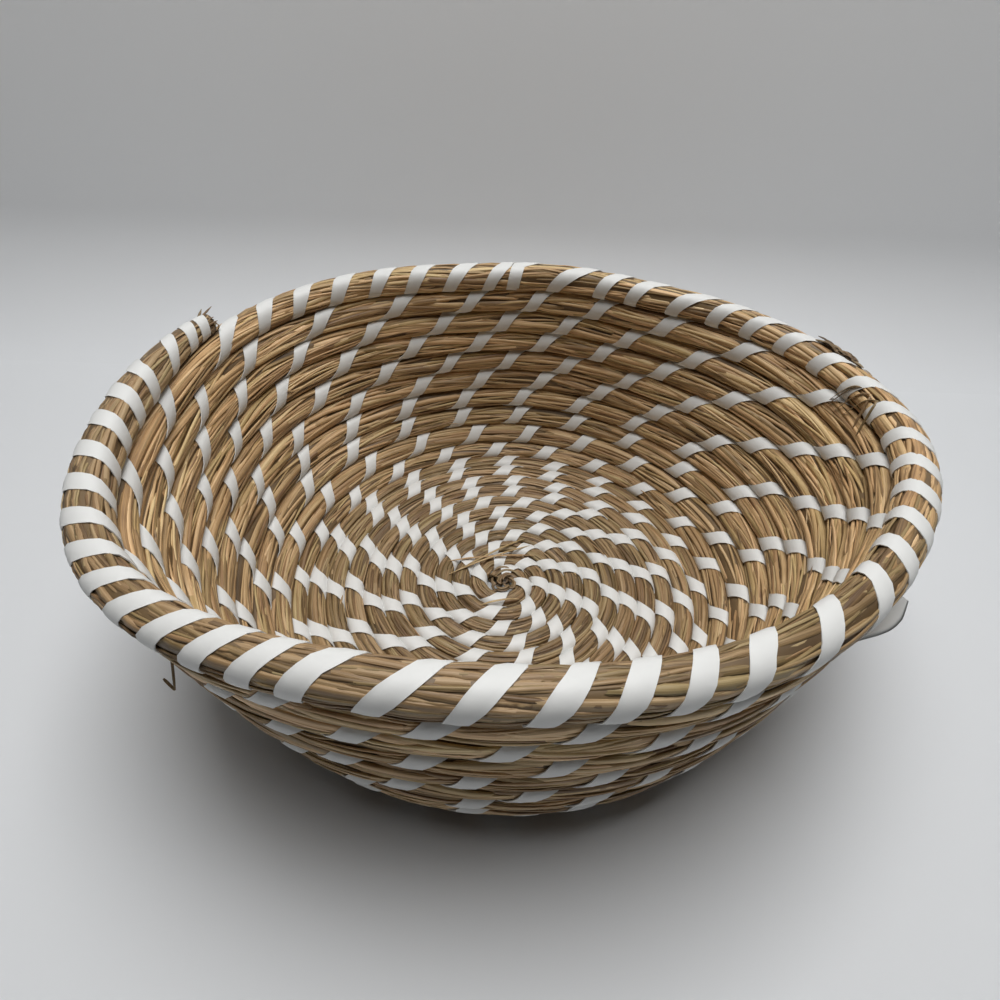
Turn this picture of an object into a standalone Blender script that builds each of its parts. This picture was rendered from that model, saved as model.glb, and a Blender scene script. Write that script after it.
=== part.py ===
"""A coiled grass basket, built as it is made.

One long bundle of dried grass stalks is coiled clockwise (seen from above): first flat, as the
floor, then up the wall, each turn laid on the turn below it, and last as a thicker rim.  The
bundle is modelled in its three lengths, each one unbroken spiral tube.  A white strip binds the
wall and the rim: it runs round the bundle as a left-handed helix, one length for each row of the
wall and three for the rim, whose last wraps are bunched where the bundle tapers off.  A loose
tail of strip hangs outside, below the rim.

Metres, +Z up.  The basket stands on z = 0, centred on its bounding box.
"""

import math
from functools import lru_cache

import bmesh
import bpy
from mathutils import Vector

MM = 0.001

# Driving dimensions of the coil
START_RADIUS = 5.5 * MM
START_BUNDLE = 6.8 * MM
FLOOR_EDGE_BUNDLE = 7.4 * MM
WALL_BUNDLE = 10.4 * MM
RIM_BUNDLE = 11.7 * MM
RIM_TIP_BUNDLE = 5.6 * MM
ROW_GAP = 1.5 * MM
SPLICE_GAP = 0.3 * MM

# Turns of the coil, and the shares of the rim at which it thickens and starts to taper
FLOOR_TURNS = 10.5
BEND_TURNS = 1.5
WALL_TURNS = 9.5
RIM_TURNS = 1.0
TOTAL_TURNS = FLOOR_TURNS + WALL_TURNS + RIM_TURNS
RIM_THICKEN_SHARES = (0.35, 0.42)
RIM_TAPER_SHARE = 0.92
END_ANGLE = math.radians(152.5)

# Slope of the wall, from its foot to the rim
FOOT_SLOPE = math.radians(22.5)
RIM_SLOPE = math.radians(80.6)
SLOPE_POWER = 3.7
LEAN_ONSET_SHARE = 1.0 / 3.0

# How far the hand-made wall leans from that slope: lobes round the rim, angle, direction
LEANS = (
    (1, math.radians(4.3), math.radians(80.0)),
    (2, math.radians(7.9), math.radians(87.5)),
    (3, math.radians(2.9), math.radians(-52.5)),
    (4, math.radians(0.5), math.radians(-9.0)),
    (5, math.radians(2.1), math.radians(-31.0)),
    (6, math.radians(0.9), math.radians(-9.5)),
)

# The underside is pressed flat by this share of the bundle's diameter
FLAT_SHARE = 0.1

# Facets of the bundle
FLOOR_RINGS_PER_TURN = 24
WALL_RINGS_PER_TURN = 48
COIL_SIDES = 6
RIM_SIDES = 8

# The binding strip: a blade with a low crown
STRIP_WIDTH = 6.5 * MM
STRIP_THICKNESS = 0.25 * MM
STRIP_CLEARANCE = 0.35 * MM
OUTER_STRIP_CLEARANCE = 0.90 * MM
RIM_STRIP_CLEARANCE = 0.25 * MM

# Its wraps: on the wall 20 and a half go round the basket, so that each row's lie between those
# of the row below; on the rim each wrap runs from one ring to the next
WALL_WRAPS_PER_TURN = 20.5
BOUND_WALL_ROWS = 9
RIM_WRAPS = 40
BUNCHED_WRAPS = 4
BUNCHED_SPACING_SHARE = 0.5
RIM_STRIP_SHARES = (0.0, 0.18, 0.60, 1.0)

# The loose tail of strip, which leaves the row below the rim
TAIL_START_ANGLE = math.radians(-50.0)
TAIL_SWEEP = math.radians(20.0)
TAIL_LIFT = 12.0 * MM
TAIL_DROP = 5.0 * MM
TAIL_WIDTH = 5.6 * MM
TAIL_SECTIONS = 12
TAIL_TIP_WIDTH_SHARE = 0.55

# Finishes: base colour, roughness
STRAW_FLOOR = ((0.36, 0.24, 0.13, 1.0), 0.75)
STRAW_WALL = ((0.40, 0.27, 0.14, 1.0), 0.72)
STRAW_RIM = ((0.45, 0.31, 0.16, 1.0), 0.68)
WHITE_STRIP = ((0.86, 0.85, 0.82, 1.0), 0.45)

UP = Vector((0.0, 0.0, 1.0))


def interpolate(x, stations):
    """The value at x of a line through (x, value) stations, held level beyond its ends."""
    if x <= stations[0][0]:
        return stations[0][1]
    for (x0, y0), (x1, y1) in zip(stations, stations[1:]):
        if x <= x1:
            return y0 + (y1 - y0) * (x - x0) / (x1 - x0)
    return stations[-1][1]


def rim_turn(share):
    """The turn, counted from the coil's start, after a share of the rim."""
    return FLOOR_TURNS + WALL_TURNS + RIM_TURNS * share


def bundle_diameter(turn):
    """The bundle thickens from the centre out, and tapers off at the rim's end."""
    return interpolate(turn, (
        (0.0, START_BUNDLE),
        (FLOOR_TURNS, FLOOR_EDGE_BUNDLE),
        (FLOOR_TURNS + BEND_TURNS, WALL_BUNDLE),
        (rim_turn(RIM_THICKEN_SHARES[0]), WALL_BUNDLE),
        (rim_turn(RIM_THICKEN_SHARES[1]), RIM_BUNDLE),
        (rim_turn(RIM_TAPER_SHARE), RIM_BUNDLE),
        (rim_turn(1.0), RIM_TIP_BUNDLE),
    ))


def coil_angle(turn):
    """The direction from the centre at a turn: the coil runs clockwise as it grows."""
    return END_ANGLE + math.tau * (TOTAL_TURNS - turn)


def wall_slope(turn):
    """The angle above level at which a turn is laid on the one below it."""
    if turn <= FLOOR_TURNS:
        return 0.0
    share = (turn - FLOOR_TURNS) / (TOTAL_TURNS - FLOOR_TURNS)
    slope = RIM_SLOPE - (RIM_SLOPE - FOOT_SLOPE) * (1.0 - share) ** SLOPE_POWER
    angle = coil_angle(turn)
    lean = sum(size * math.cos(lobes * (angle - towards)) for lobes, size, towards in LEANS)
    slope += lean * min(1.0, share / LEAN_ONSET_SHARE)
    return slope * min(1.0, turn - FLOOR_TURNS)


class Station:
    """One place along the coil: its centre, its radius and the directions of its section."""

    def __init__(self, turn, radius, height):
        angle = coil_angle(turn)
        self.outward = Vector((math.cos(angle), math.sin(angle), 0.0))
        self.along = Vector((math.sin(angle), -math.cos(angle), 0.0))
        self.turn = turn
        self.radius = radius
        self.height = height
        self.slope = wall_slope(turn)
        self.tube = bundle_diameter(turn) / 2.0
        self.centre = self.outward * radius + UP * height

    def corner(self, angle, distance):
        """A point round the bundle; the angle runs from the turn above, outwards and down."""
        lift = self.slope - angle
        return self.centre + distance * (math.cos(lift) * self.outward + math.sin(lift) * UP)


@lru_cache(maxsize=None)
def station_at(turn):
    """Lay the bundle a row gap away from the turn inside or below it."""
    tube = bundle_diameter(turn) / 2.0
    pressed_height = tube * (1.0 - 2.0 * FLAT_SHARE)
    if turn < 1.0:
        return Station(turn, START_RADIUS + (START_BUNDLE + ROW_GAP) * turn, pressed_height)
    below = station_at(turn - 1.0)
    spacing = tube + below.tube + ROW_GAP
    slope = wall_slope(turn)
    if slope == 0.0:
        return Station(turn, below.radius + spacing, pressed_height)
    return Station(turn, below.radius + spacing * math.cos(slope),
                   below.height + spacing * math.sin(slope))


def section(station, sides, margin=0.0, outer_margin=0.0):
    """The corners of the bundle's section, no lower than the surface it stands on."""
    points = []
    for k in range(sides):
        angle = math.tau * k / sides
        around = margin + outer_margin * max(0.0, math.sin(angle))
        points.append(station.corner(angle, station.tube + around / math.cos(math.pi / sides)))
    for point in points:
        point.z = max(point.z, 0.0)
    return points


def even_turns(first, last, rings_per_turn):
    """The turns at which the floor and the wall have their rings."""
    steps = round((last - first) * rings_per_turn)
    return [first + k / rings_per_turn for k in range(steps)] + [last]


def rim_turns():
    """The turns at which the rim has its rings, one a wrap, from its start to its tapered end."""
    lengths = [1.0] * RIM_WRAPS + [BUNCHED_SPACING_SHARE] * BUNCHED_WRAPS
    return [rim_turn(sum(lengths[:k]) / sum(lengths)) for k in range(len(lengths) + 1)]


def coil_length(turns, sides):
    """The rings of one length of the bundle, drawn back by half a gap where it is spliced."""
    stations = [station_at(turn) for turn in turns]
    rings = [section(station, sides) for station in stations]
    if turns[0] > 0.0:
        rings[0] = shifted(rings[0], stations[0].along * SPLICE_GAP / 2.0)
    if turns[-1] < TOTAL_TURNS:
        rings[-1] = shifted(rings[-1], stations[-1].along * -SPLICE_GAP / 2.0)
    return rings


def shifted(points, offset):
    """The same points, moved."""
    return [point + offset for point in points]


def on_line(rings, line, place):
    """A point along one corner line of a faceted tube, place counted in rings."""
    k = max(0, min(int(place), len(rings) - 2))
    return rings[k][line].lerp(rings[k + 1][line], place - k)


def strip_length(stations, sides, clearance, rings_per_wrap, first_wrap, last_wrap):
    """One length of the helix, with a section at each corner line of the bundle it crosses."""
    axis = [[station.centre] for station in stations]
    skin = [section(station, sides, clearance, OUTER_STRIP_CLEARANCE) for station in stations]
    crown = [section(station, sides, clearance + STRIP_THICKNESS, OUTER_STRIP_CLEARANCE)
             for station in stations]
    sections = []
    for crossing in range(math.ceil(first_wrap * sides), math.floor(last_wrap * sides)):
        line = -crossing % sides
        place = crossing / sides * rings_per_wrap
        half = half_width_in_rings(stations, place, rings_per_wrap)
        if place - half < 0.0 or place + half > len(stations) - 1:
            continue
        edges = [on_line(skin, line, place - half), on_line(skin, line, place + half)]
        under = on_line(skin, line, place)
        away = (under - on_line(axis, 0, place)).normalized()
        edges = shifted(edges, away * max(0.0, away.dot(under - edges[0].lerp(edges[1], 0.5))))
        ridge = edges[0].lerp(edges[1], 0.5) + on_line(crown, line, place) - under
        sections.append(edges + [ridge])
    return sections


def half_width_in_rings(stations, place, rings_per_wrap):
    """Half the strip's width, measured along the bundle in rings."""
    k = min(int(place), len(stations) - 2)
    ring = (stations[k + 1].centre - stations[k].centre).length
    girth = math.tau * (stations[k].tube + STRIP_CLEARANCE)
    return STRIP_WIDTH / 2.0 * math.hypot(ring * rings_per_wrap, girth) / girth / ring


def wall_strip(row):
    """The strip of one row of the wall, counted from the lowest row that is bound."""
    first = rim_turn(0.0) - BOUND_WALL_ROWS
    turns = even_turns(first, rim_turn(0.0), WALL_RINGS_PER_TURN)
    stations = [station_at(turn) for turn in reversed(turns)]
    last_wrap = (BOUND_WALL_ROWS + 1 - row) * WALL_WRAPS_PER_TURN
    rings_per_wrap = WALL_RINGS_PER_TURN / WALL_WRAPS_PER_TURN
    return strip_length(stations, COIL_SIDES, STRIP_CLEARANCE, rings_per_wrap,
                        last_wrap - WALL_WRAPS_PER_TURN, last_wrap)


def rim_strip(start_share, end_share):
    """One length of the rim's strip, between two shares of its wraps, from its tapered end."""
    stations = [station_at(turn) for turn in reversed(rim_turns())]
    wraps = len(stations) - 1
    return strip_length(stations, RIM_SIDES, RIM_STRIP_CLEARANCE, 1.0,
                        start_share * wraps, end_share * wraps)


def strip_tail():
    """The loose tail: it leaves the outer corner line of the wall's last row, and lifts off it."""
    start = rim_turn(0.0) - (coil_angle(rim_turn(0.0)) - TAIL_START_ANGLE) / -math.tau % 1.0
    clearance = 2.0 * STRIP_CLEARANCE + OUTER_STRIP_CLEARANCE + STRIP_THICKNESS
    sections = []
    for k in range(TAIL_SECTIONS + 1):
        share = k / TAIL_SECTIONS
        turn = start - TAIL_SWEEP * share / math.tau
        station = station_at(turn)
        below, beside = math.floor(turn * WALL_RINGS_PER_TURN), turn * WALL_RINGS_PER_TURN % 1.0
        rings = [section(station_at((below + step) / WALL_RINGS_PER_TURN), COIL_SIDES, clearance)
                 for step in range(2)]
        seat = on_line(rings, 1, beside)
        seat += station.outward * TAIL_LIFT * share ** 2 - UP * TAIL_DROP * share
        half = TAIL_WIDTH / 2.0 * interpolate(share, ((0.0, 1.0), (1.0, TAIL_TIP_WIDTH_SHARE)))
        skin = station.outward * STRIP_THICKNESS
        top, bottom = seat + UP * half, seat - UP * half
        sections.append([bottom, top, top + skin, bottom + skin])
    return sections


def least_row_gap(turns, sides):
    """The least distance between the corners of each turn and those of the turn after it."""
    least = math.inf
    for turn in turns:
        following = section(station_at(turn + 1.0), sides)
        for point in section(station_at(turn), sides):
            least = min(least, min((point - other).length for other in following))
    return least


def least_wrap_gap(sections, sides):
    """The least distance between the corners of each wrap of a strip and those of the next."""
    return min((point - other).length
               for near, far in zip(sections, sections[sides:]) for point in near for other in far)


def middle_of(bodies):
    """The middle of the basket's plan, on the surface it stands on."""
    points = [point for rings in bodies for ring in rings for point in ring]
    xs = [point.x for point in points]
    ys = [point.y for point in points]
    return Vector(((min(xs) + max(xs)) / 2.0, (min(ys) + max(ys)) / 2.0, 0.0))


def make_material(name, finish):
    """A plain Principled finish."""
    colour, roughness = finish
    material = bpy.data.materials.new(name)
    material.use_nodes = True
    shader = material.node_tree.nodes["Principled BSDF"]
    shader.inputs["Base Color"].default_value = colour
    shader.inputs["Roughness"].default_value = roughness
    shader.inputs["Metallic"].default_value = 0.0
    return material


def middle_point(points):
    """The mean of some points."""
    return sum(points, Vector()) / len(points)


def split_outward(loop, core):
    """Two triangles for a four-cornered face, creased away from the body's core."""
    a, b, c, d = loop
    along = middle_point([a.co, c.co]) - core
    across = middle_point([b.co, d.co]) - core
    if along.length > across.length:
        return (a, b, c), (a, c, d)
    return (a, b, d), (b, c, d)


def make_body(name, rings, finish, middle):
    """Skin a row of rings as one closed body, with the basket's middle at the origin."""
    mesh = bmesh.new()
    rows = [[mesh.verts.new(point - middle) for point in ring] for ring in rings]
    sides = len(rows[0])
    for row, following in zip(rows, rows[1:]):
        core = middle_point([corner.co for corner in row + following])
        for k in range(sides):
            after = (k + 1) % sides
            loop = (row[k], row[after], following[after], following[k])
            for corners in split_outward(loop, core):
                mesh.faces.new(corners)
    mesh.faces.new(list(reversed(rows[0])))
    mesh.faces.new(rows[-1])
    bmesh.ops.recalc_face_normals(mesh, faces=mesh.faces)
    data = bpy.data.meshes.new(name)
    mesh.to_mesh(data)
    mesh.free()
    data.materials.append(make_material(name + "_finish", finish))
    body = bpy.data.objects.new(name, data)
    bpy.context.scene.collection.objects.link(body)


def main():
    """Clear the scene and make the basket."""
    for old in list(bpy.data.objects):
        bpy.data.objects.remove(old, do_unlink=True)
    floor_turns = even_turns(0.0, FLOOR_TURNS, FLOOR_RINGS_PER_TURN)
    wall_turns = even_turns(FLOOR_TURNS, rim_turn(0.0), WALL_RINGS_PER_TURN)
    bodies = {
        "base_coil": (coil_length(floor_turns, COIL_SIDES), STRAW_FLOOR),
        "wall_coil": (coil_length(wall_turns, COIL_SIDES), STRAW_WALL),
        "rim_coil": (coil_length(rim_turns(), RIM_SIDES), STRAW_RIM),
    }
    wrap_gaps = []
    for row in range(1, BOUND_WALL_ROWS + 1):
        strip = wall_strip(row)
        wrap_gaps.append(least_wrap_gap(strip, COIL_SIDES))
        bodies["wall_strip_%d" % row] = (strip, WHITE_STRIP)
    lengths = ("rim_strip_end", "rim_strip_front", "rim_strip_back")
    for name, first, last in zip(lengths, RIM_STRIP_SHARES, RIM_STRIP_SHARES[1:]):
        strip = rim_strip(first, last)
        wrap_gaps.append(least_wrap_gap(strip, RIM_SIDES))
        bodies[name] = (strip, WHITE_STRIP)
    bodies["loose_strip_tail"] = (strip_tail(), WHITE_STRIP)

    middle = middle_of(rings for rings, finish in bodies.values())
    for name, (rings, finish) in bodies.items():
        make_body(name, rings, finish, middle)
    inner_turns = [turn for turn in floor_turns + wall_turns if turn + 1.0 <= rim_turn(0.0)]
    print("least gap between turns of the coil: %.2f mm" % (least_row_gap(inner_turns, COIL_SIDES) / MM))
    print("least gap between wraps of a strip: %.2f mm" % (min(wrap_gaps) / MM))


main()
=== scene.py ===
"""Dresses the coiled grass basket: stalks, binding strip, table top and light.

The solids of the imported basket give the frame. The same coil is laid here again as a guide, and
bundles of stalks and a white strip are rolled onto it: both are made flat, in a space where x runs
along the coil, y round it and z out from its middle, and then bent onto the guide.
"""

import logging
import math
import random
from bisect import bisect_left, bisect_right
from dataclasses import dataclass, field
from enum import Enum
from functools import lru_cache
from typing import Any, Callable, Iterable, Sequence

import bpy
from bpy.types import Material, Mesh, Node, NodeSocket, NodeTree, Object
from mathutils import Matrix, Vector


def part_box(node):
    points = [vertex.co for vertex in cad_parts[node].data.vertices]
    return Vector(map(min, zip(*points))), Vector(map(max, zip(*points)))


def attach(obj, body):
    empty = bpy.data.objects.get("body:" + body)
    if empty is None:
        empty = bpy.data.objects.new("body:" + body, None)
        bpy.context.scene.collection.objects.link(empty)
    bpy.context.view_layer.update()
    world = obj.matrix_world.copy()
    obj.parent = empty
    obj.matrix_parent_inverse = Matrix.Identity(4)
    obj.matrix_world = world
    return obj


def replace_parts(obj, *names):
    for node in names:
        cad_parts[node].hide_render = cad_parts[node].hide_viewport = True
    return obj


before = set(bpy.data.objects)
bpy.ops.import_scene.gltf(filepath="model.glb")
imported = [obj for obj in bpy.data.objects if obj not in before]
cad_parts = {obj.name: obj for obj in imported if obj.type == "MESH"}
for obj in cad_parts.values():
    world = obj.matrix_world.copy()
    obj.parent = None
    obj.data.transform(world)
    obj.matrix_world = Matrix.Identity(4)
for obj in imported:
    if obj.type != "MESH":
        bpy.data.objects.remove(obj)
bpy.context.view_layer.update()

log = logging.getLogger("basket")

MM = 0.001
UP = Vector((0.0, 0.0, 1.0))
ROOT = "root"
GUIDE_STEP = 3.0 * MM

Triple = tuple[float, float, float]
Colour = tuple[float, float, float, float]
Chain = list[Vector]


class Slot(Enum):
    """The record's material slots."""

    FLOOR = "grass_floor"
    WALL = "grass_wall"
    RIM = "grass_rim"
    STRIP = "white_strip"


class Kind(Enum):
    """The kinds of value that the guide's attributes hold."""

    NUMBER = "FLOAT"
    VECTOR = "FLOAT_VECTOR"


class Value:
    """A number in a node tree, which takes Python's operators."""

    def __init__(self, graph: "Graph", socket: NodeSocket) -> None:
        """Wrap an output socket of a graph."""
        self.graph = graph
        self.socket = socket

    def __add__(self, other: Any) -> "Value":
        """Sum."""
        return self.graph.math("ADD", self, other)

    def __sub__(self, other: Any) -> "Value":
        """Difference."""
        return self.graph.math("SUBTRACT", self, other)

    def __rsub__(self, other: Any) -> "Value":
        """Difference, with the number on the left."""
        return self.graph.math("SUBTRACT", other, self)

    def __mul__(self, other: Any) -> "Value":
        """Product."""
        return self.graph.math("MULTIPLY", self, other)

    def __truediv__(self, other: Any) -> "Value":
        """Quotient."""
        return self.graph.math("DIVIDE", self, other)

    __radd__ = __add__
    __rmul__ = __mul__


def pick(sockets: Any, key: int | str) -> NodeSocket:
    """Find a socket by its number, or by its name among those that are in use.

    Args:
        sockets: A node's inputs or outputs.
        key: The number, or the name in any case, with _ for a space.

    Returns:
        The socket.
    """
    if isinstance(key, int):
        return sockets[key]
    name = key.replace("_", " ").lower()
    return next(socket for socket in sockets if socket.name.lower() == name and socket.enabled)


class Graph:
    """A node tree that is written as expressions."""

    def __init__(self, tree: NodeTree) -> None:
        """Hold a geometry or shader node tree."""
        self.tree = tree

    def node(self, kind: str, settings: dict[str, Any], *terms: Any, **named: Any) -> Node:
        """Add a node.

        Args:
            kind: The node's type.
            settings: Its properties, which are set first.
            terms: Values or links of its first inputs, in order.
            named: Values or links of other inputs, by name.

        Returns:
            The node.
        """
        made = self.tree.nodes.new(kind)
        for name, value in settings.items():
            setattr(made, name, value)
        for key, value in (*enumerate(terms), *named.items()):
            self.feed(pick(made.inputs, key), value)
        return made

    def feed(self, socket: NodeSocket, value: Any) -> None:
        """Link a value to an input, or set it there.

        Args:
            socket: The input.
            value: A Value, an output socket or a plain value.
        """
        if isinstance(value, Value):
            value = value.socket
        if isinstance(value, NodeSocket):
            self.tree.links.new(value, socket)
        else:
            socket.default_value = value

    def out(self, kind: str, settings: dict[str, Any], *terms: Any, output: int | str = 0,
            **named: Any) -> Value:
        """Add a node in the same way and take the output with a number or name."""
        return Value(self, pick(self.node(kind, settings, *terms, **named).outputs, output))

    def geo(self, kind: str, **named: Any) -> Value:
        """Add a geometry node that needs no settings and take one of its outputs."""
        return self.out("GeometryNode" + kind, {}, **named)

    def math(self, operation: str, *terms: Any) -> Value:
        """Work out a number."""
        return self.out("ShaderNodeMath", {"operation": operation}, *terms)

    def vector(self, x: Any, y: Any, z: Any) -> Value:
        """Join three numbers into a vector."""
        return self.out("ShaderNodeCombineXYZ", {}, x, y, z)

    def axes(self, vector: Any) -> tuple[Value, Value, Value]:
        """Split a vector into three numbers."""
        split = self.node("ShaderNodeSeparateXYZ", {}, vector)
        return tuple(Value(self, output) for output in split.outputs)

    def vector_math(self, operation: str, *terms: Any, **named: Any) -> Value:
        """Work out a vector."""
        return self.out("ShaderNodeVectorMath", {"operation": operation}, *terms, **named)

    def smooth(self, value: Any, low: Any, high: Any) -> Value:
        """A smooth step from 0 at low to 1 at high."""
        settings = {"interpolation_type": "SMOOTHSTEP"}
        return self.out("ShaderNodeMapRange", settings, value, low, high)

    def noise(self, vector: Any, **named: Any) -> Value:
        """Noise at a place, around a half."""
        return self.out("ShaderNodeTexNoise", {}, output="Fac", vector=vector, **named)

    def chance(self, low: Any, high: Any, number: Any, seed: Any) -> Value:
        """A random number between two others for each numbered thing."""
        return self.out("FunctionNodeRandomValue", {"data_type": "FLOAT"}, output="Value",
                        min=low, max=high, id=number, seed=seed)

    def capture(self, geometry: Any, kind: str, value: Any) -> tuple[Value, Value]:
        """Keep a field's value on the geometry.

        Args:
            geometry: What carries it.
            kind: The value's type.
            value: The field.

        Returns:
            The geometry, and the kept value.
        """
        node = self.tree.nodes.new("GeometryNodeCaptureAttribute")
        node.capture_items.new(kind, "kept")
        self.feed(node.inputs[0], geometry)
        self.feed(node.inputs[1], value)
        return Value(self, node.outputs[0]), Value(self, node.outputs[1])

    def ramp(self, factor: Value, *stops: tuple[float, Colour]) -> Value:
        """Add a colour ramp.

        Args:
            factor: Where it is read, from 0 to 1.
            stops: Its places and colours, in rising order.

        Returns:
            The colour.
        """
        node = self.node("ShaderNodeValToRGB", {}, factor)
        elements = node.color_ramp.elements
        elements[0].position, elements[1].position = stops[0][0], stops[-1][0]
        for place, _ in stops[1:-1]:
            elements.new(place)
        for element, (_, colour) in zip(elements, stops):
            element.color = colour
        return Value(self, node.outputs["Color"])


def interpolate(x: float, stations: Sequence[tuple[float, float]]) -> float:
    """The value at x of a line through stations, held level beyond its ends.

    Args:
        x: Where to read the line.
        stations: Its points, in rising order of x.

    Returns:
        The value.
    """
    if x <= stations[0][0]:
        return stations[0][1]
    for (x0, y0), (x1, y1) in zip(stations, stations[1:]):
        if x <= x1:
            return y0 + (y1 - y0) * (x - x0) / (x1 - x0)
    return stations[-1][1]


def level(angle: float) -> Vector:
    """The level direction at an angle."""
    return Vector((math.cos(angle), math.sin(angle), 0.0))


@dataclass(frozen=True)
class Station:
    """One place along the coil."""

    centre: Vector
    upward: Vector
    outward: Vector
    tube: float


@dataclass(frozen=True)
class Coil:
    """The rule by which the bundle is laid, with the sizes of the solids."""

    start_radius: float = 5.5 * MM
    start_bundle: float = 6.8 * MM
    floor_edge_bundle: float = 7.4 * MM
    wall_bundle: float = 10.4 * MM
    rim_bundle: float = 11.7 * MM
    rim_tip_bundle: float = 5.6 * MM
    row_gap: float = 1.5 * MM
    floor_turns: float = 10.5
    bend_turns: float = 1.5
    rim_turn: float = 20.0
    turns: float = 21.0
    thicken_turns: tuple[float, float] = (20.35, 20.42)
    taper_turn: float = 20.92
    cut_turn: float = 20.983
    end_angle: float = math.radians(152.5)
    foot_slope: float = math.radians(22.5)
    rim_slope: float = math.radians(80.6)
    slope_power: float = 3.7
    lean_onset: float = 1.0 / 3.0
    flat_share: float = 0.1
    leans_degrees: tuple[tuple[int, float, float], ...] = (
        (1, 4.3, 80.0), (2, 7.9, 87.5), (3, 2.9, -52.5), (4, 0.5, -9.0), (5, 2.1, -31.0),
        (6, 0.9, -9.5))
    samples: int = 24

    def pitch(self, turn: float) -> float:
        """The thickness of the bundle with its share of the gap: neighbouring turns touch."""
        return self.row_gap + interpolate(turn, (
            (0.0, self.start_bundle),
            (self.floor_turns, self.floor_edge_bundle),
            (self.floor_turns + self.bend_turns, self.wall_bundle),
            (self.thicken_turns[0], self.wall_bundle),
            (self.thicken_turns[1], self.rim_bundle),
            (self.taper_turn, self.rim_bundle),
            (self.turns, self.rim_tip_bundle),
        ))

    def angle(self, turn: float) -> float:
        """The direction from the middle at a turn."""
        return self.end_angle + math.tau * (self.turns - turn)

    def slope(self, turn: float) -> float:
        """The angle above level at which a turn is laid on the one below it."""
        if turn <= self.floor_turns:
            return 0.0
        share = min(1.0, (turn - self.floor_turns) / (self.turns - self.floor_turns))
        rise = self.rim_slope - self.foot_slope
        slope = self.rim_slope - rise * (1.0 - share) ** self.slope_power
        angle = self.angle(turn)
        lean = sum(math.radians(size) * math.cos(lobes * (angle - math.radians(towards)))
                   for lobes, size, towards in self.leans_degrees)
        slope += lean * min(1.0, share / self.lean_onset)
        return slope * min(1.0, turn - self.floor_turns)

    @lru_cache(maxsize=None)
    def lay(self, turn: float) -> tuple[float, float]:
        """The place of the bundle's middle at a turn.

        Args:
            turn: Turns from the start at the centre.

        Returns:
            The distance from the spiral's middle, and the height above the table.
        """
        half = self.pitch(turn) / 2.0
        pressed = (half - self.row_gap / 2.0) * (1.0 - 2.0 * self.flat_share)
        if turn < 1.0:
            return self.start_radius + (self.start_bundle + self.row_gap) * turn, pressed
        radius, height = self.lay(turn - 1.0)
        spacing = half + self.pitch(turn - 1.0) / 2.0
        slope = self.slope(turn)
        if slope == 0.0:
            return radius + spacing, pressed
        return radius + spacing * math.cos(slope), height + spacing * math.sin(slope)

    def middle(self) -> Vector:
        """The offset in plan from the spiral's middle to the frame's origin.

        Returns:
            The offset, which the box of the floor's solid tells.
        """
        low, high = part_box("base_coil")
        xs, ys = [], []
        for step in range(self.samples + 1):
            turn = self.floor_turns - step / self.samples
            radius = self.lay(turn)[0] + (self.pitch(turn) - self.row_gap) / 2.0
            xs.append(radius * math.cos(self.angle(turn)))
            ys.append(radius * math.sin(self.angle(turn)))
        x = (min(xs) + max(xs) - low.x - high.x) / 2.0
        y = (min(ys) + max(ys) - low.y - high.y) / 2.0
        return Vector((x, y, 0.0))

    def station(self, turn: float, middle: Vector) -> Station:
        """The place and directions of the bundle's section at a turn.

        Args:
            turn: Turns from the start.
            middle: The offset from the spiral's middle to the frame's origin.

        Returns:
            The station.
        """
        radius, height = self.lay(turn)
        away, slope = level(self.angle(turn)), self.slope(turn)
        return Station(
            centre=away * radius + UP * height - middle,
            upward=away * math.cos(slope) + UP * math.sin(slope),
            outward=away * math.sin(slope) - UP * math.cos(slope),
            tube=self.pitch(turn) / 2.0,
        )


@dataclass(frozen=True)
class Lie:
    """How the strip advances along the bundle while it goes once round it."""

    top: float
    between: float

    def advance(self, share: Any, sine: Callable[[Any], Any] = math.sin) -> Any:
        """How far along its wrap the strip is.

        Args:
            share: The share of a turn that it has gone round, as a number or as nodes.
            sine: The sine to use.

        Returns:
            The share of the wrap.
        """
        slow = sine(share * math.tau) * (self.top / math.tau)
        twice = sine(share * (2.0 * math.tau)) * (self.between / (2.0 * math.tau))
        return share + slow + twice


WALL_LIE = Lie(top=0.0, between=0.35)
RIM_LIE = Lie(top=0.85, between=0.0)


def add_object(name: str, data: Any) -> Object:
    """Add an object with its data to the scene."""
    made = bpy.data.objects.new(name, data)
    bpy.context.scene.collection.objects.link(made)
    return made


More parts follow.
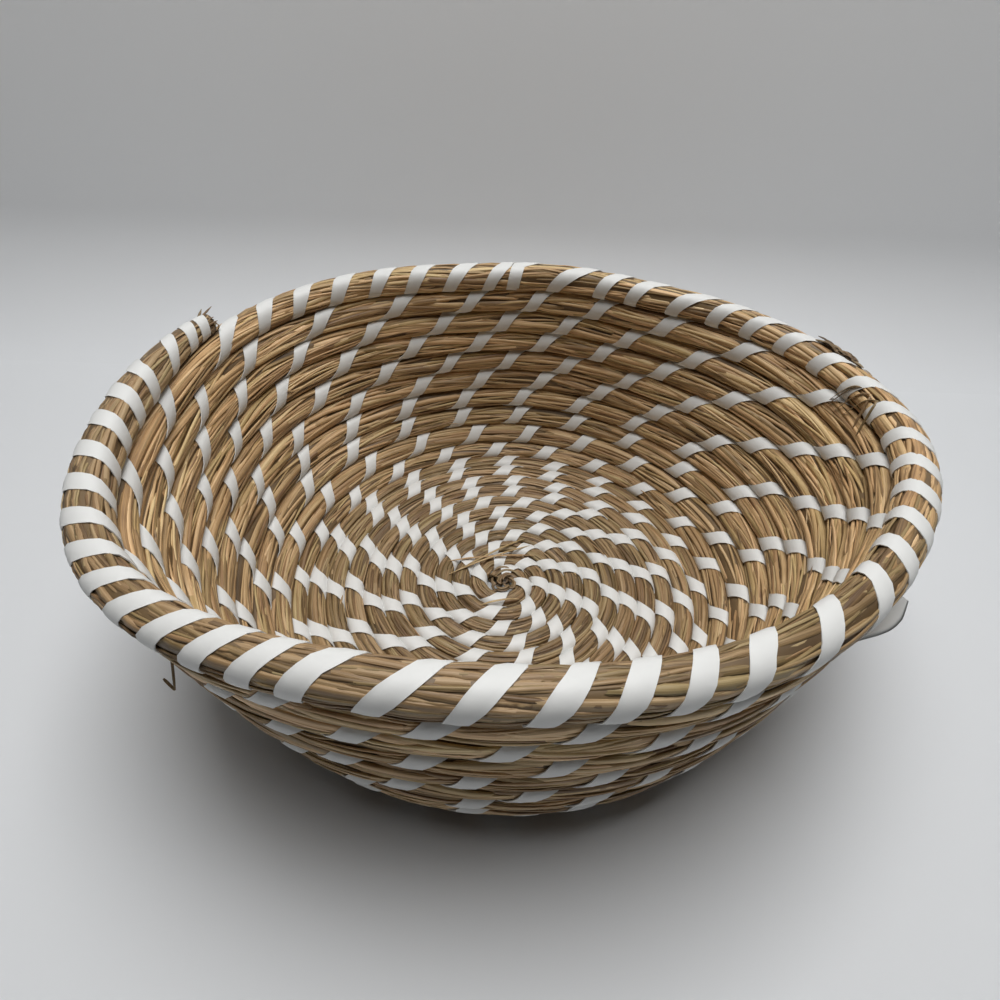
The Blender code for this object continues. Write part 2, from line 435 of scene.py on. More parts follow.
@dataclass
class Guide:
    """The coil as an evenly spaced row of points, which trees read by distance along it."""

    coil: Coil
    fine: int = 480
    object: Object = field(init=False)
    middle: Vector = field(init=False)
    lengths: list[float] = field(init=False)

    def __post_init__(self) -> None:
        """Measure the coil's length against its turns."""
        self.middle = self.coil.middle()
        self.lengths = [0.0]
        last = self.coil.station(0.0, self.middle).centre
        for k in range(1, round(self.coil.turns * self.fine) + 1):
            point = self.coil.station(k / self.fine, self.middle).centre
            self.lengths.append(self.lengths[-1] + (point - last).length)
            last = point

    def distance(self, turn: float) -> float:
        """How far along the coil a turn is."""
        place = min(max(turn, 0.0) * self.fine, len(self.lengths) - 1.001)
        k = int(place)
        return self.lengths[k] + (self.lengths[k + 1] - self.lengths[k]) * (place - k)

    def turn(self, distance: float) -> float:
        """The turn at a distance along the coil."""
        k = min(max(bisect_right(self.lengths, distance) - 1, 0), len(self.lengths) - 2)
        share = (distance - self.lengths[k]) / (self.lengths[k + 1] - self.lengths[k])
        return (k + min(1.0, max(0.0, share))) / self.fine

    def build(self, wraps: "Wraps") -> None:
        """Write the guide's points and what the trees read there.

        Args:
            wraps: The places of the strip's wraps.
        """
        count = int(self.lengths[-1] / GUIDE_STEP) + 2
        turns = [self.turn(k * GUIDE_STEP) for k in range(count)]
        stations = [self.coil.station(turn, self.middle) for turn in turns]
        mesh = bpy.data.meshes.new("coil_guide")
        mesh.from_pydata([s.centre for s in stations], [], [])
        columns = {
            "upward": (Kind.VECTOR, [c for s in stations for c in s.upward]),
            "outward": (Kind.VECTOR, [c for s in stations for c in s.outward]),
            "tube": (Kind.NUMBER, [s.tube for s in stations]),
            "wraps": (Kind.NUMBER, [wraps.count_at(turn) for turn in turns]),
            "spacing": (Kind.NUMBER, [wraps.spacing_at(turn, self) for turn in turns]),
        }
        for name, (kind, values) in columns.items():
            column = mesh.attributes.new(name, kind.value, "POINT")
            column.data.foreach_set("vector" if kind is Kind.VECTOR else "value", values)
        self.object = add_object("coil_guide", mesh)
        self.object.hide_render = True

    def tube(self, start: float, end: float) -> float:
        """The bundle's radius halfway between two distances along the coil."""
        return self.coil.station(self.turn((start + end) / 2.0), self.middle).tube


@dataclass
class Wraps:
    """Where the strip goes round the bundle, as turns of the coil."""

    coil: Coil
    floor_counts: tuple[int, ...] = (4, 7, 9, 11, 13, 14, 16, 18, 18, 19, 20)
    wall_count: float = 20.6
    rim_start_angle: float = 153.6
    rim_runs: tuple[tuple[int, float], ...] = (
        (5, 113.0), (2, 92.5), (1, 89.0), (1, 72.0), (2, 55.0), (1, 43.0), (3, 23.0), (9, -41.5),
        (2, -62.0), (3, -83.0), (2, -100.0), (1, -110.0), (6, -143.5), (6, -180.0), (1, -190.5),
        (1, -196.0), (1, -199.5),
    )
    jitter_share: float = 0.06
    least_wrap_share: float = 0.7
    seed: int = 5
    places: list[float] = field(init=False)

    def __post_init__(self) -> None:
        """Set the wraps out, a little unevenly."""
        chance = random.Random(self.seed)
        rim_start = self.turn_at(self.rim_start_angle)
        self.places = [0.0]
        while self.places[-1] < rim_start - self.least_wrap_share / self.wall_count:
            turn = self.places[-1]
            floor = turn < len(self.floor_counts) - 0.5
            count = self.floor_counts[int(turn)] if floor else self.wall_count
            uneven = chance.uniform(-self.jitter_share, self.jitter_share)
            self.places.append(turn + (1.0 + uneven) / count)
        self.places[-1] = rim_start
        for number, angle in self.rim_runs:
            start, end = self.places[-1], self.turn_at(angle)
            self.places += [start + (end - start) * (k + 1) / number for k in range(number)]

    def turn_at(self, angle: float) -> float:
        """The turn of the rim at an angle in degrees, which falls from its start to its end."""
        return self.coil.turns - (angle + 360.0 - math.degrees(self.coil.end_angle)) / 360.0

    def number_at(self, turn: float) -> int:
        """The number of the wrap that is under way at a turn."""
        return bisect_left(self.places, turn, 1) - 1

    def count_at(self, turn: float) -> float:
        """How many wraps have been made by a turn."""
        k = self.number_at(turn)
        if k == len(self.places) - 1:
            return float(k)
        start, end = self.places[k:k + 2]
        return k + (turn - start) / (end - start)

    def spacing_at(self, turn: float, guide: Guide) -> float:
        """The length of the wrap at a turn, or past the end, of the last but one."""
        k = self.number_at(turn)
        if k == len(self.places) - 1:
            k -= 2
        return guide.distance(self.places[k + 1]) - guide.distance(self.places[k])

    def within(self, first: float, last: float) -> range:
        """The numbers of the wraps that start between two turns."""
        numbers = [k for k, start in enumerate(self.places[:-1]) if first <= start < last]
        return range(numbers[0], numbers[-1] + 1)


def settle(piece: Object) -> Object:
    """Tie a piece to the body and report it.

    Args:
        piece: The piece.

    Returns:
        The piece.
    """
    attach(piece, ROOT)
    log.info("%s: %d faces", piece.name, len(piece.data.polygons))
    return piece


class Tree:
    """A geometry node tree with named inputs, whose results are kept as plain meshes."""

    NAME = ""

    def __init__(self) -> None:
        """Write the tree."""
        self.tree = bpy.data.node_groups.new(self.NAME, "GeometryNodeTree")
        for way in ("INPUT", "OUTPUT"):
            self.tree.interface.new_socket(
                "Geometry", in_out=way, socket_type="NodeSocketGeometry")
        self.graph = Graph(self.tree)
        self.start = self.tree.nodes.new("NodeGroupInput")
        self.end = self.tree.nodes.new("NodeGroupOutput")
        self.material, = self.inputs("Material", "Material")
        self.build()

    def build(self) -> None:
        """Write the tree's own inputs and nodes."""
        raise NotImplementedError

    def inputs(self, kind: str, *names: str) -> list[Value]:
        """Add inputs.

        Args:
            kind: Their socket type's last word, such as Float.
            names: Their names.

        Returns:
            The inputs, for use in the tree.
        """
        for name in names:
            self.tree.interface.new_socket(name, in_out="INPUT", socket_type="NodeSocket" + kind)
        return [Value(self.graph, pick(self.start.outputs, name)) for name in names]

    def circle(self, sides: int) -> Value:
        """The outline of a round section, 1 wide."""
        return self.graph.out("GeometryNodeCurvePrimitiveCircle", {"mode": "RADIUS"},
                              resolution=sides, radius=0.5)

    def paths(self) -> Value:
        """The chains of points that the tree starts from, as curves."""
        return self.graph.geo("MeshToCurve", mesh=self.start.outputs[0])

    def lay_level(self, curve: Value) -> Value:
        """Turn the sections along a curve level."""
        return self.graph.out("GeometryNodeSetCurveNormal", {"mode": "Z_UP"}, curve=curve)

    def mark(self, body: Value, grain: Value) -> Value:
        """Store the place in the grass's own grain, which its material reads."""
        return self.graph.out("GeometryNodeStoreNamedAttribute",
                              {"data_type": "FLOAT_VECTOR", "domain": "POINT"},
                              geometry=body, name="grain", value=grain)

    def finish(self, geometry: Value) -> None:
        """End the tree: real geometry, smooth, with its material.

        Args:
            geometry: What the tree has made.
        """
        graph = self.graph
        real = graph.geo("RealizeInstances", geometry=geometry)
        smooth = graph.geo("SetShadeSmooth", geometry=real)
        dressed = graph.geo("SetMaterial", geometry=smooth, material=self.material)
        graph.feed(self.end.inputs[0], dressed)

    def make(self, name: str, source: Mesh, values: dict[str, Any],
             thickness: float = 0.0) -> Object:
        """Run the tree on a mesh and keep the result as a plain mesh object.

        Args:
            name: The piece's name.
            source: What the tree starts from.
            values: The inputs, by name.
            thickness: The thickness that a sheet is given after the tree.

        Returns:
            The piece.
        """
        maker = add_object(name + "_maker", source)
        modifier = maker.modifiers.new("tree", "NODES")
        modifier.node_group = self.tree
        for item in self.tree.interface.items_tree:
            if item.in_out == "INPUT" and item.name in values:
                modifier[item.identifier] = values[item.name]
        if thickness:
            solidify = maker.modifiers.new("thickness", "SOLIDIFY")
            solidify.thickness, solidify.offset = thickness, 0.0
        evaluated = maker.evaluated_get(bpy.context.evaluated_depsgraph_get())
        mesh = bpy.data.meshes.new_from_object(evaluated)
        mesh.name = name
        bpy.data.objects.remove(maker)
        return add_object(name, mesh)


class CoilTree(Tree):
    """A tree whose flat geometry is rolled onto the coil."""

    PRESSED = 0.10
    TABLE_SKIN = 0.05 * MM

    def build(self) -> None:
        """Write the inputs that every tree on the coil has."""
        self.guide, = self.inputs("Object", "Guide")
        self.tube, = self.inputs("Float", "Tube")

    def reader(self, distance: Value) -> Callable[[str, Kind], Value]:
        """Read the guide at a distance along it.

        Args:
            distance: Metres along the coil.

        Returns:
            A function that reads an attribute of a kind there.
        """
        graph = self.graph
        points = graph.geo("ObjectInfo", object=self.guide, output="Geometry")
        place = graph.math("MAXIMUM", distance / GUIDE_STEP, 0.0)
        index = graph.math("FLOOR", place)
        blend = place - index

        def read(name: str, kind: Kind) -> Value:
            """One attribute, between two points."""
            held = graph.out("GeometryNodeInputNamedAttribute", {"data_type": kind.value},
                             name=name, output="Attribute")
            settings = {"data_type": kind.value, "domain": "POINT", "clamp": True}
            here, beyond = (
                graph.out("GeometryNodeSampleIndex", settings, output="Value", geometry=points,
                          value=held, index=at) for at in (index, index + 1.0))
            mixed = "VECTOR" if kind is Kind.VECTOR else "FLOAT"
            return graph.out("ShaderNodeMix", {"data_type": mixed, "clamp_factor": False},
                             output="Result", factor=blend, a=here, b=beyond)

        return read

    def roll(self, body: Value) -> None:
        """Bend flat geometry onto the coil, no lower than the table, and end the tree.

        Args:
            body: What lies in the flat space.
        """
        graph = self.graph
        x, y, z = graph.axes(graph.geo("InputPosition"))
        read = self.reader(x)
        angle = y / self.tube
        corner = graph.math("POWER", graph.math("SINE", angle * 2.0), 2.0)
        reach = z * read("tube", Kind.NUMBER) / self.tube * (corner * self.PRESSED + 1.0)
        rise, lean = (graph.vector_math("SCALE", read(name, Kind.VECTOR),
                                        scale=reach * graph.math(wave, angle))
                      for name, wave in (("upward", "COSINE"), ("outward", "SINE")))
        point = graph.vector_math("ADD", read("position", Kind.VECTOR), rise)
        px, py, pz = graph.axes(graph.vector_math("ADD", point, lean))
        place = graph.vector(px, py, graph.math("MAXIMUM", pz, self.TABLE_SKIN))
        self.finish(graph.geo("SetPosition", geometry=body, position=place))


@dataclass(frozen=True)
class StalkBatch:
    """One sort of stalk in a bundle: its fields are inputs of the tree, thickness as a share."""

    width: float
    thickness: float
    shortest: float
    longest: float
    cover: float
    seed: int
    depth: float = 0.7 * MM
    wander: float = 0.3
    twist: float = 18.0
    pinch: float = 0.09
    bulge: float = 0.04


class StalkTree(CoilTree):
    """Lays many stalks side by side round the bundle and rolls them onto the coil."""

    NAME = "grass stalks"
    POINTS, SIDES = 27, 5
    CUT_SPREAD = (-3.0 * MM, 2.0 * MM)
    WIDTH_SPREAD = (0.6, 1.3)
    WAVES = 22.0
    STRIP_REACH = (2.2 * MM, 8.0 * MM)
    SWELL_REACH = (0.1, 0.5)
    NARROWED = 0.12
    DIVE, DIVE_LENGTH = 1.6 * MM, 14.0 * MM
    TIP_SHARE, TIP_LENGTH = 0.3, 9.0 * MM

    def __init__(self, lie: Lie) -> None:
        """Take the strip's lie, which tells where it pinches the stalks, and write the tree."""
        self.lie = lie
        super().__init__()

    def build(self) -> None:
        """Write the tree's own inputs and nodes."""
        super().build()
        graph, tube = self.graph, self.tube
        start, end, limit, width, thickness = self.inputs(
            "Float", "Start", "End", "Limit", "Width", "Thickness")
        shortest, longest, depth, wander, twist, pinch, bulge = self.inputs(
            "Float", "Shortest", "Longest", "Depth", "Wander", "Twist", "Pinch", "Bulge")
        count, seed = self.inputs("Int", "Count", "Seed")
        line = graph.geo("CurvePrimitiveLine", start=(0.0, 0.0, 0.0), end=(1.0, 0.0, 0.0))
        line = graph.geo("ResampleCurve", curve=line, count=self.POINTS)
        copies = graph.node("GeometryNodeDuplicateElements", {"domain": "SPLINE"},
                            geometry=line, amount=count)
        curve, number = graph.capture(copies.outputs[0], "INT", copies.outputs["Duplicate Index"])

        def chance(low: Any, high: Any, offset: int) -> Value:
            """A random number for each stalk."""
            return graph.chance(low, high, number, seed + offset)

        def sine(angle: Value) -> Value:
            """The sine as a node."""
            return graph.math("SINE", angle)

        along = graph.geo("SplineParameter", output="Factor")
        length = chance(shortest, longest, 1)
        x = start + (end - start) * chance(0.0, 1.0, 2) + (along - 0.5) * length
        x = graph.math("MINIMUM", x, limit + chance(*self.CUT_SPREAD, 9))
        drift = graph.noise(graph.vector(x * self.WAVES, chance(0.0, 50.0, 3), 0.0),
                            scale=1.0, detail=1.0)
        angle = chance(0.0, math.tau, 4) + (along - 0.5) * length * chance(-1.0, 1.0, 5) * twist
        angle = angle + (drift - 0.5) * wander
        read = self.reader(x)
        share = graph.math("FRACT", angle / math.tau + 8.0)
        phase = read("wraps", Kind.NUMBER) - self.lie.advance(share, sine) + 8.5
        away = graph.math("ABSOLUTE", graph.math("FRACT", phase) - 0.5)
        from_strip = away * read("spacing", Kind.NUMBER)
        squeezed = 1.0 - graph.smooth(from_strip, *self.STRIP_REACH)
        swell = graph.smooth(away, *self.SWELL_REACH)
        ends = graph.math("MINIMUM", along, 1.0 - along) * length
        dive = 1.0 - graph.smooth(ends, 0.0, self.DIVE_LENGTH)
        lying = tube - depth * chance(0.0, 1.0, 6) - dive * self.DIVE
        z = lying * (1.0 - squeezed * pinch + swell * bulge)
        curve = graph.geo("SetPosition", geometry=curve, position=graph.vector(x, angle * tube, z))
        taper = graph.math("MINIMUM", ends / self.TIP_LENGTH + self.TIP_SHARE, 1.0)
        girth = width * chance(*self.WIDTH_SPREAD, 7) * taper * (1.0 - squeezed * self.NARROWED)
        curve, axis = graph.capture(self.lay_level(curve), "VECTOR", graph.geo("InputPosition"))
        curve, tint = graph.capture(curve, "FLOAT", chance(0.0, 1.0, 8))
        body = graph.geo("CurveToMesh", curve=curve, profile_curve=self.circle(self.SIDES),
                         scale=girth, fill_caps=True)
        offset = graph.vector_math("SUBTRACT", graph.geo("InputPosition"), axis)
        dx, dy, dz = graph.axes(offset)
        flattened = graph.vector_math("ADD", axis, graph.vector(dx, dy, dz * thickness))
        body = graph.geo("SetPosition", geometry=body, position=flattened)
        self.roll(self.mark(body, graph.vector(graph.axes(axis)[0], dy, tint)))


class StripTree(CoilTree):
    """Turns a flat path into a flat strip and rolls it onto the coil."""

    NAME = "binding strip"
    POINTS = 5
    LEAST_WIDTH, WIDTH_RANGE = 0.85, 0.3
    WAVES = 35.0

    def build(self) -> None:
        """Write the tree's own inputs and nodes."""
        super().build()
        graph = self.graph
        width, crown = self.inputs("Float", "Width", "Crown")
        path, axis = graph.capture(self.lay_level(self.paths()), "VECTOR",
                                   graph.geo("InputPosition"))
        across = graph.geo("CurvePrimitiveLine", start=(-0.5, 0.0, 0.0), end=(0.5, 0.0, 0.0))
        across = graph.geo("ResampleCurve", curve=across, count=self.POINTS)
        uneven = graph.noise(axis, scale=self.WAVES, detail=0.0) * self.WIDTH_RANGE
        uneven = uneven + self.LEAST_WIDTH
        body = graph.geo("CurveToMesh", curve=path, profile_curve=across, scale=width * uneven)
        position = graph.geo("InputPosition")
        offset = graph.vector_math("SUBTRACT", position, axis)
        reach = graph.vector_math("LENGTH", offset, output="Value")
        sag = graph.math("POWER", reach / (width * 0.5), 2.0) * crown
        x, y, z = graph.axes(position)
        self.roll(graph.geo("SetPosition", geometry=body, position=graph.vector(x, y, z - sag)))


class CoreTree(CoilTree):
    """A plain dark tube that fills the bundle behind its stalks: painted shade, for the shaded
    inside of the bundle between them.
    """

    NAME = "bundle core"
    SIDES = 16
    GIRTH, TOUCHING_GIRTH = 0.86, 0.12
    # A low tint, for the darker colours of the grass: painted shade on the core.
    TINT = 0.2

    def build(self) -> None:
        """Write the tree's own inputs and nodes."""
        super().build()
        graph = self.graph
        start, end = self.inputs("Float", "Start", "End")
        rings, = self.inputs("Int", "Rings")
        sheet = graph.geo("MeshGrid", size_x=1.0, size_y=1.0, vertices_x=rings,
                          vertices_y=self.SIDES + 1)
        x, y, _ = graph.axes(graph.geo("InputPosition"))
        along, angle = start + (end - start) * (x + 0.5), (y + 0.5) * math.tau
        touching = graph.math("POWER", graph.math("COSINE", angle), 2.0)
        girth = self.tube * (touching * self.TOUCHING_GIRTH + self.GIRTH)
        around = angle * self.tube
        body = graph.geo("SetPosition", geometry=sheet, position=graph.vector(along, around, girth))
        self.roll(self.mark(body, graph.vector(along, around, self.TINT)))


class BladeTree(Tree):
    """Turns chains of points into flat blades with narrow ends."""

    NAME = "loose blades"
    POINTS, SIDES, SEED = 20, 6, 3
    TIPS = 5.0
    DARKEST, PALEST = 0.0, 0.8

    def build(self) -> None:
        """Write the tree's own inputs and nodes."""
        graph = self.graph
        width, thickness, tilt, tip = self.inputs("Float", "Width", "Thickness", "Tilt", "Tip")
        path = graph.out("GeometryNodeCurveSplineType", {"spline_type": "CATMULL_ROM"},
                         curve=self.paths())
        path = self.lay_level(graph.geo("ResampleCurve", curve=path, count=self.POINTS))
        path = graph.geo("SetCurveTilt", curve=path, tilt=tilt)
        along = graph.geo("SplineParameter", output="Factor")
        ends = graph.math("MINIMUM", along, 1.0 - along)
        taper = tip + (1.0 - tip) * graph.math("MINIMUM", ends * self.TIPS, 1.0)
        section = graph.geo("Transform", geometry=self.circle(self.SIDES),
                            scale=graph.vector(width, thickness, 1.0))
        body = graph.geo("CurveToMesh", curve=path, profile_curve=section, scale=taper,
                         fill_caps=True)
        x, y, z = graph.axes(graph.geo("InputPosition"))
        tint = graph.chance(self.DARKEST, self.PALEST, graph.geo("InputMeshIsland"), self.SEED)
        self.finish(self.mark(body, graph.vector(x + y, z, tint)))


def path_mesh(name: str, *chains: Iterable[Sequence[float]]) -> Mesh:
    """A mesh of chains of points.

    Args:
        name: The mesh's name.
        chains: The points of each chain, in order.

    Returns:
        The mesh.
    """
    points, edges = [], []
    for chain in chains:
        first = len(points)
        points += [tuple(point) for point in chain]
        edges += [(k, k + 1) for k in range(first, len(points) - 1)]
    mesh = bpy.data.meshes.new(name)
    mesh.from_pydata(points, edges, [])
    return mesh


def point_mesh() -> Mesh:
    """A mesh of one point, for a tree that starts from nothing."""
    return path_mesh("none", [(0, 0, 0)])


def new_material(name: str, roughness: float) -> tuple[Material, Graph, Any]:
    """Start a material.

    Args:
        name: Its name.
        roughness: Its roughness.

    Returns:
        The material, its graph and the inputs of its shader.
    """
    made = bpy.data.materials.new(name)
    made.use_nodes = True
    inputs = made.node_tree.nodes["Principled BSDF"].inputs
    inputs["Roughness"].default_value = roughness
    return made, Graph(made.node_tree), inputs


@dataclass(frozen=True)
class Straw:
    """The finish of dry grass: base colours, from dark to light."""

    name: str
    # A factor on every colour. On the floor and the wall it paints light and shade, and it makes
    # the core's grass dark as painted shade; the dark loose straws take the same darker grass.
    shade: float = 1.0
    dark: Colour = (0.12, 0.066, 0.030, 1.0)
    middle: Colour = (0.40, 0.258, 0.122, 1.0)
    light: Colour = (0.68, 0.50, 0.290, 1.0)
    stops: Triple = (0.18, 0.5, 0.85)
    casts: tuple[Triple, ...] = (
        (0.90, 0.96, 0.86), (1.0, 1.0, 1.0), (1.0, 0.93, 0.90))
    cast_shuffle: float = 7.3
    streaks: Triple = (30.0, 2600.0, 90.0)
    blotches: Triple = (60.0, 200.0, 40.0)
    ridge: float = 0.25 * MM
    roughness: float = 0.5

    def material(self) -> Material:
        """Make the material.

        Returns:
            Grass with fine streaks along each stalk, and its own tint for each.
        """
        made, graph, inputs = new_material(self.name, self.roughness)
        grain = graph.axes(
            graph.out("ShaderNodeAttribute", {"attribute_name": "grain"}, output="Vector"))
        tint = grain[2]

        def pattern(waves: Triple, **named: float) -> Value:
            """Noise with its own waves along and across a stalk."""
            place = graph.vector(*(axis * number for axis, number in zip(grain, waves)))
            return graph.noise(place, scale=1.0, **named)

        streak = pattern(self.streaks, detail=3.0, roughness=0.6)
        blotch = pattern(self.blotches, detail=2.0)
        mixing = tint * 0.40 + streak * 0.65 + blotch * 0.40 - 0.24
        colours = graph.ramp(mixing, *zip(self.stops, (self.dark, self.middle, self.light)))
        # The shade factor paints light and shade into the colour.
        casts = (tuple(part * self.shade for part in cast) + (1.0,) for cast in self.casts)
        cast = graph.ramp(graph.math("FRACT", tint * self.cast_shuffle),
                          *zip((0.0, 0.5, 1.0), casts))
        colour = graph.out("ShaderNodeMix", {"data_type": "RGBA", "blend_type": "MULTIPLY"},
                           output="Result", factor=1.0, a=colours, b=cast)
        graph.feed(inputs["Base Color"], colour)
        graph.feed(inputs["Normal"], graph.out("ShaderNodeBump", {}, strength=0.5,
                                               distance=self.ridge, height=streak))
        return made


@dataclass(frozen=True)
class Plain:
    """A finish of one colour."""

    name: str
    colour: Colour
    roughness: float

    def material(self) -> Material:
        """Make the material."""
        made, _, inputs = new_material(self.name, self.roughness)
        inputs["Base Color"].default_value = self.colour
        return made


@dataclass(frozen=True)
class Length:
    """A length of the coil that is made in one go."""

    name: str
    first: float
    last: float
    slot: Slot
    shade: float
    coil_node: str = ""
    strip_nodes: tuple[str, ...] = ()

    @property
    def lie(self) -> Lie:
        """How the strip goes round it."""
        return RIM_LIE if self.slot is Slot.RIM else WALL_LIE


@dataclass
class Bundle:
    """The grass bundle: stalks round a core painted dark as shade, in lengths that follow the coil.
    """

    guide: Guide
    stalks: StalkTree
    rim_stalks: StalkTree
    core: CoreTree
    # The core's grass, painted dark as shade.
    inner: Material
    rim_calm: float = 0.5
    core_ring: float = 8.0 * MM
    sorts: tuple[StalkBatch, ...] = (
        StalkBatch(width=1.3 * MM, thickness=0.5, shortest=70 * MM, longest=170 * MM,
                   cover=1.35, seed=11),
        StalkBatch(width=2.7 * MM, thickness=0.26, shortest=60 * MM, longest=150 * MM,
                   cover=2.2, seed=77, depth=0.9 * MM),
    )

    def lay(self, length: Length, straw: Material) -> list[Object]:
        """Make one length of the bundle.

        Args:
            length: The length.
            straw: The finish of its stalks.

        Returns:
            Its pieces, with the core last.
        """
        guide, on_rim = self.guide, length.slot is Slot.RIM
        start, end = guide.distance(length.first), guide.distance(length.last)
        tube = guide.tube(start, end)
        tree = self.rim_stalks if on_rim else self.stalks
        calm = self.rim_calm if on_rim else 1.0
        shared = {"Guide": guide.object, "Tube": tube, "Start": start, "End": end}
        made = []
        for number, sort in enumerate(self.sorts, start=1):
            mean = (sort.shortest + sort.longest) / 2.0
            count = round(sort.cover * (end - start) * math.tau * tube / sort.width / mean)
            values = {name.title(): value for name, value in vars(sort).items()}
            values.update({name: values[name] * calm for name in ("Wander", "Pinch", "Bulge")})
            made.append(tree.make(f"{length.name}_stalks_{number}", point_mesh(), {
                **values, **shared, "Count": count, "Seed": sort.seed + round(length.first * 10),
                "Limit": guide.distance(guide.coil.cut_turn), "Material": straw}))
        made.append(self.core.make(length.name + "_core", point_mesh(), {
            **shared, "Rings": max(2, round((end - start) / self.core_ring)),
            "Material": self.inner}))
        return [settle(piece) for piece in made]


@dataclass
class Binding:
    """The white strip that binds the bundle."""

    guide: Guide
    wraps: Wraps
    tree: StripTree
    finish: Material
    width: float = 6.3 * MM
    thickness: float = 0.35 * MM
    crown: float = 0.15 * MM
    lift: float = 0.7 * MM
    sink: float = 0.07
    points: int = 16
    sharp_angle: float = math.radians(50.0)

    def wind(self, length: Length) -> Object:
        """Wind the strip over one length of the coil, from underside to underside.

        Args:
            length: The length.

        Returns:
            The piece.
        """
        guide, places = self.guide, self.wraps.places
        tube = guide.tube(guide.distance(length.first), guide.distance(length.last))
        numbers = self.wraps.within(length.first, length.last)
        begin = max(0.0, numbers.start - 0.5)
        end = numbers.stop - (0.0 if numbers.stop == len(places) - 1 else 0.5)
        rows = []
        for k in range(round((end - begin) * self.points) + 1):
            wound = begin + k / self.points
            number = min(int(wound), len(places) - 2)
            s0, s1 = guide.distance(places[number]), guide.distance(places[number + 1])
            rows.append((s0 + (s1 - s0) * length.lie.advance(wound - number),
                         math.tau * (wound - numbers.start) * tube,
                         tube * (1.0 - self.sink) + self.lift))
        name = length.name + "_strip"
        piece = self.tree.make(name, path_mesh(name + " path", rows), {
            "Guide": guide.object, "Tube": tube, "Width": self.width, "Crown": self.crown,
            "Material": self.finish}, self.thickness)
        piece.data.set_sharp_from_angle(angle=self.sharp_angle)
        return settle(piece)


